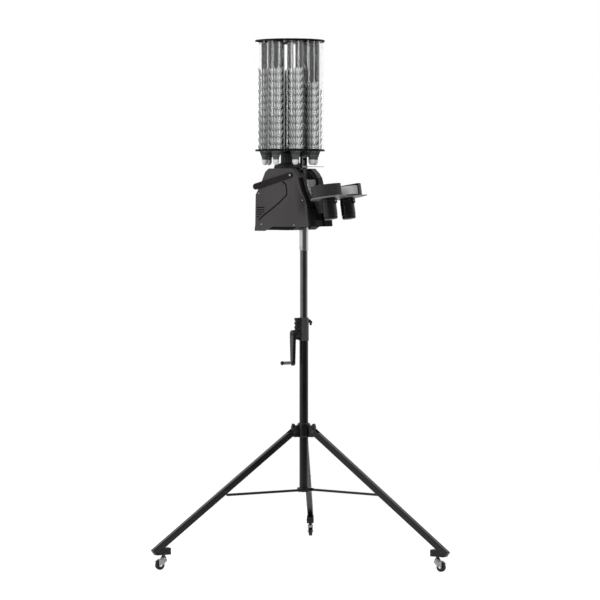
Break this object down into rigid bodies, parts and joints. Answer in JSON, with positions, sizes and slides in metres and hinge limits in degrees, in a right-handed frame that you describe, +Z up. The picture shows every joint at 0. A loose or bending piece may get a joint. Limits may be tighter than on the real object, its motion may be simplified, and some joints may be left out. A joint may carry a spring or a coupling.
{
  "type": "badminton serving machine",
  "caption": "Badminton feeder: a turning magazine of clear shuttle tubes over a two-wheel launcher, on a crank-up mast with a folding tripod and casters.",
  "frame": {"origin": "on the floor, at the middle of the footprint of the three legs", "axes": "+Z up, the machine throws along -Y, +X to the right as seen from in front of it"},
  "size_m": [1.1892, 1.0306, 2.1257],
  "materials": {
    "black_steel": "gloss",
    "black_plastic": "satin",
    "charcoal_plastic": "satin",
    "motor_black": "satin",
    "chrome": "polished",
    "zinc_steel": "satin",
    "dark_rubber": "matte",
    "grey_tread": "matte",
    "clear_acrylic": "polished",
    "shuttle_white": "matte",
    "board_green": "satin"
  },
  "bodies": {
    "mast": {"mast_lower_tube": "black_steel", "lower_collar": "black_steel", "crank_housing": "black_plastic"},
    "collar": {"leg_collar": "black_plastic"},
    "leg_1": {"leg_1": "black_steel"},
    "leg_2": {"leg_2": "black_steel"},
    "leg_3": {"leg_3": "black_steel"},
    "brace_1": {"brace_1": "black_steel"},
    "brace_2": {"brace_2": "black_steel"},
    "brace_3": {"brace_3": "black_steel"},
    "caster_1": {"caster_fork_1": "zinc_steel"},
    "caster_2": {"caster_fork_2": "zinc_steel"},
    "caster_3": {"caster_fork_3": "zinc_steel"},
    "wheel_1": {"caster_wheel_1": "dark_rubber"},
    "wheel_2": {"caster_wheel_2": "dark_rubber"},
    "wheel_3": {"caster_wheel_3": "dark_rubber"},
    "crank": {"crank_arm": "black_steel"},
    "grip": {"crank_grip": "black_plastic"},
    "lock_knob": {"mast_lock_knob": "black_plastic"},
    "upper_mast": {"mast_upper_tube": "black_steel"},
    "head": {"head_sleeve": "chrome", "base_tray": "black_plastic", "side_cover_left": "charcoal_plastic", "side_cover_right": "charcoal_plastic", "top_pedestal": "black_plastic", "magazine_motor": "zinc_steel", "front_hood": "black_plastic", "shuttle_chute": "clear_acrylic", "claw_rails": "zinc_steel", "claw_drive": "black_plastic", "battery_pack": "black_plastic", "control_board": "board_green"},
    "launcher": {"launcher_plate": "black_steel", "tilt_bracket": "black_steel", "motor_left": "motor_black", "motor_right": "motor_black", "wheel_guard_left": "black_plastic", "wheel_guard_right": "black_plastic"},
    "launch_wheel_left": {"launch_wheel_left": "grey_tread"},
    "launch_wheel_right": {"launch_wheel_right": "grey_tread"},
    "magazine": {"magazine_bottom_disc": "black_plastic", "magazine_top_disc": "black_plastic", "magazine_tube_1": "clear_acrylic", "magazine_tube_2": "clear_acrylic", "magazine_tube_3": "clear_acrylic", "magazine_tube_4": "clear_acrylic", "magazine_tube_5": "clear_acrylic", "magazine_tube_6": "clear_acrylic", "magazine_tube_7": "clear_acrylic", "magazine_tube_8": "clear_acrylic", "shuttle_stack_1": "shuttle_white", "shuttle_stack_2": "shuttle_white", "shuttle_stack_3": "shuttle_white", "shuttle_stack_4": "shuttle_white", "shuttle_stack_5": "shuttle_white", "shuttle_stack_6": "shuttle_white", "shuttle_stack_7": "shuttle_white", "shuttle_stack_8": "shuttle_white"},
    "claw": {"claw_fork": "zinc_steel"},
    "handle": {"carry_handle": "black_plastic"}
  },
  "joints": [
    {"name": "collar_slide", "type": "slide", "parent": "mast", "child": "collar", "axis": [0, 0, 1], "range_m": [-0.171, 0]},
    {"name": "leg_1_fold", "type": "hinge", "parent": "collar", "child": "leg_1", "pos_m": [0, 0.11697, 0.52259], "axis": [1, 0, 0], "range_deg": [0, 49]},
    {"name": "leg_2_fold", "type": "hinge", "parent": "collar", "child": "leg_2", "pos_m": [0.04157, 0.18897, 0.52259], "axis": [-0.5, 0.866, 0], "range_deg": [0, 49]},
    {"name": "leg_3_fold", "type": "hinge", "parent": "collar", "child": "leg_3", "pos_m": [-0.04157, 0.18897, 0.52259], "axis": [-0.5, -0.866, 0], "range_deg": [0, 49]},
    {"name": "brace_1_fold", "type": "hinge", "parent": "mast", "child": "brace_1", "pos_m": [0, 0.13167, 0.28211], "axis": [1, 0, 0], "range_deg": [0, 84]},
    {"name": "brace_2_fold", "type": "hinge", "parent": "mast", "child": "brace_2", "pos_m": [0.02884, 0.18162, 0.28211], "axis": [-0.5, 0.866, 0], "range_deg": [0, 84]},
    {"name": "brace_3_fold", "type": "hinge", "parent": "mast", "child": "brace_3", "pos_m": [-0.02884, 0.18162, 0.28211], "axis": [-0.5, -0.866, 0], "range_deg": [0, 84]},
    {"name": "caster_1_swivel", "type": "hinge", "parent": "leg_1", "child": "caster_1", "pos_m": [0, -0.46398, 0.06], "axis": [0, 0, 1], "continuous": true},
    {"name": "caster_2_swivel", "type": "hinge", "parent": "leg_2", "child": "caster_2", "pos_m": [0.54469, 0.47945, 0.06], "axis": [0, 0, 1], "continuous": true},
    {"name": "caster_3_swivel", "type": "hinge", "parent": "leg_3", "child": "caster_3", "pos_m": [-0.54469, 0.47945, 0.06], "axis": [0, 0, 1], "continuous": true},
    {"name": "caster_1_roll", "type": "hinge", "parent": "caster_1", "child": "wheel_1", "pos_m": [0, -0.47998, 0.0185], "axis": [1, 0, 0], "continuous": true},
    {"name": "caster_2_roll", "type": "hinge", "parent": "caster_2", "child": "wheel_2", "pos_m": [0.55855, 0.48745, 0.0185], "axis": [-0.5, 0.866, 0], "continuous": true},
    {"name": "caster_3_roll", "type": "hinge", "parent": "caster_3", "child": "wheel_3", "pos_m": [-0.55855, 0.48745, 0.0185], "axis": [-0.5, -0.866, 0], "continuous": true},
    {"name": "mast_lift", "type": "slide", "parent": "mast", "child": "upper_mast", "axis": [0, 0, 1], "range_m": [-0.27, 0.21]},
    {"name": "crank_turn", "type": "hinge", "parent": "mast", "child": "crank", "pos_m": [-0.03793, 0.18687, 0.91911], "axis": [-0.866, 0.5, 0], "range_deg": [-1220, 950]},
    {"name": "grip_spin", "type": "hinge", "parent": "crank", "child": "grip", "pos_m": [-0.04945, 0.19352, 0.80311], "axis": [-0.866, 0.5, 0], "continuous": true},
    {"name": "lock_knob_turn", "type": "hinge", "parent": "mast", "child": "lock_knob", "pos_m": [0, 0.16497, 0.97111], "axis": [0.866, -0.5, 0], "range_deg": [-90, 90]},
    {"name": "head_swivel", "type": "hinge", "parent": "upper_mast", "child": "head", "pos_m": [0, 0.16497, 1.3], "axis": [0, 0, 1], "range_deg": [-60, 60]},
    {"name": "launcher_tilt", "type": "hinge", "parent": "head", "child": "launcher", "pos_m": [0, 0.10497, 1.45511], "axis": [-1, 0, 0], "range_deg": [-15, 30]},
    {"name": "launch_wheel_left_spin", "type": "hinge", "parent": "launcher", "child": "launch_wheel_left", "pos_m": [-0.07, 0.00177, 1.4709], "axis": [0, 0.1513, 0.9885], "continuous": true},
    {"name": "launch_wheel_right_spin", "type": "hinge", "parent": "launcher", "child": "launch_wheel_right", "pos_m": [0.07, 0.00177, 1.4709], "axis": [0, 0.1513, 0.9885], "continuous": true},
    {"name": "magazine_turn", "type": "hinge", "parent": "head", "child": "magazine", "pos_m": [0, 0.23237, 1.66], "axis": [0, 0, 1], "continuous": true},
    {"name": "claw_lift", "type": "slide", "parent": "head", "child": "claw", "axis": [0, 0, 1], "range_m": [0, 0.033]},
    {"name": "handle_swing", "type": "hinge", "parent": "head", "child": "handle", "pos_m": [0, 0.16997, 1.57111], "axis": [1, 0, 0], "range_deg": [0, 22]}
  ],
  "couplings": [
    {"joint": "collar_slide", "follows": "leg_1_fold", "m_per_rad": -0.19956},
    {"joint": "leg_2_fold", "follows": "leg_1_fold", "ratio": 1},
    {"joint": "leg_3_fold", "follows": "leg_1_fold", "ratio": 1},
    {"joint": "brace_1_fold", "follows": "leg_1_fold", "ratio": 1.7127},
    {"joint": "brace_2_fold", "follows": "leg_1_fold", "ratio": 1.7127},
    {"joint": "brace_3_fold", "follows": "leg_1_fold", "ratio": 1.7127},
    {"joint": "crank_turn", "follows": "mast_lift", "rad_per_m": 78.54}
  ]
}
